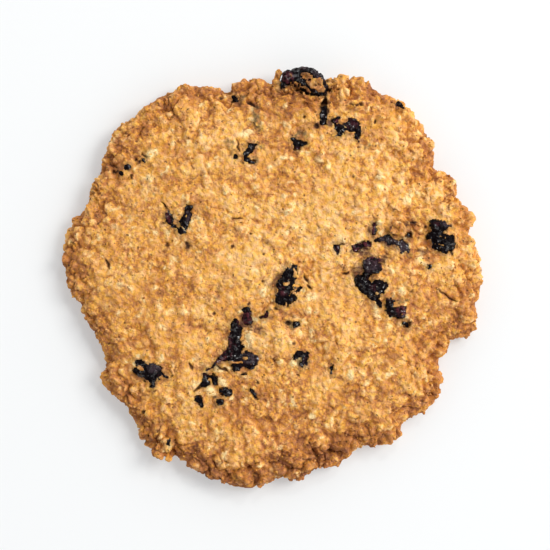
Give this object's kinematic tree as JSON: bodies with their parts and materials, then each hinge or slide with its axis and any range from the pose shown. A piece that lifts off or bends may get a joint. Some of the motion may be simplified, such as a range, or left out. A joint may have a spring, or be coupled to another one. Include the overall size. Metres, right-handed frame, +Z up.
{
  "type": "cranberry butter biscuit",
  "caption": "Round, crumbly oat biscuit with an uneven rim, flat underneath, with dried cranberries baked into its top.",
  "frame": {"origin": "middle of the biscuit's outline, on the flat face it rests on", "axes": "+Z up out of the top of the biscuit, +Y towards the cranberry that stands out of the rim, +X to the right of that"},
  "size_m": [0.0898, 0.0898, 0.0093],
  "materials": {
    "dough": "matte golden-brown baked oat crumb",
    "cranberry": "glossy wrinkled near-black dried fruit"
  },
  "bodies": {
    "root": {"dough": "dough", "cranberry_rim": "cranberry", "cranberry_crack": "cranberry", "cranberry_ridge": "cranberry", "cranberry_ridge_spot": "cranberry", "cranberry_edge": "cranberry", "cranberry_hollow": "cranberry", "cranberry_crescent": "cranberry", "cranberry_crescent_dot": "cranberry", "cranberry_veiled": "cranberry", "cranberry_top_left": "cranberry", "cranberry_far_left": "cranberry", "cranberry_far_left_dot": "cranberry", "cranberry_upper_left": "cranberry", "cranberry_vee": "cranberry", "cranberry_centre": "cranberry", "cranberry_dash": "cranberry", "cranberry_band_left": "cranberry", "cranberry_band": "cranberry", "cranberry_knob": "cranberry", "cranberry_flake": "cranberry", "cranberry_right": "cranberry", "cranberry_right_dot": "cranberry", "cranberry_big": "cranberry", "cranberry_second": "cranberry", "cranberry_second_dot": "cranberry", "cranberry_upper": "cranberry", "cranberry_purple_dot": "cranberry", "cranberry_branch": "cranberry", "cranberry_branch_low": "cranberry", "cranberry_ring_top": "cranberry", "cranberry_ring_right": "cranberry", "cranberry_ring_left": "cranberry", "cranberry_ring_low": "cranberry", "cranberry_left": "cranberry", "cranberry_bar": "cranberry", "cranberry_fleck": "cranberry", "cranberry_low_right": "cranberry", "cranberry_thread": "cranberry", "cranberry_low_left": "cranberry"}
  },
  "joints": []
}
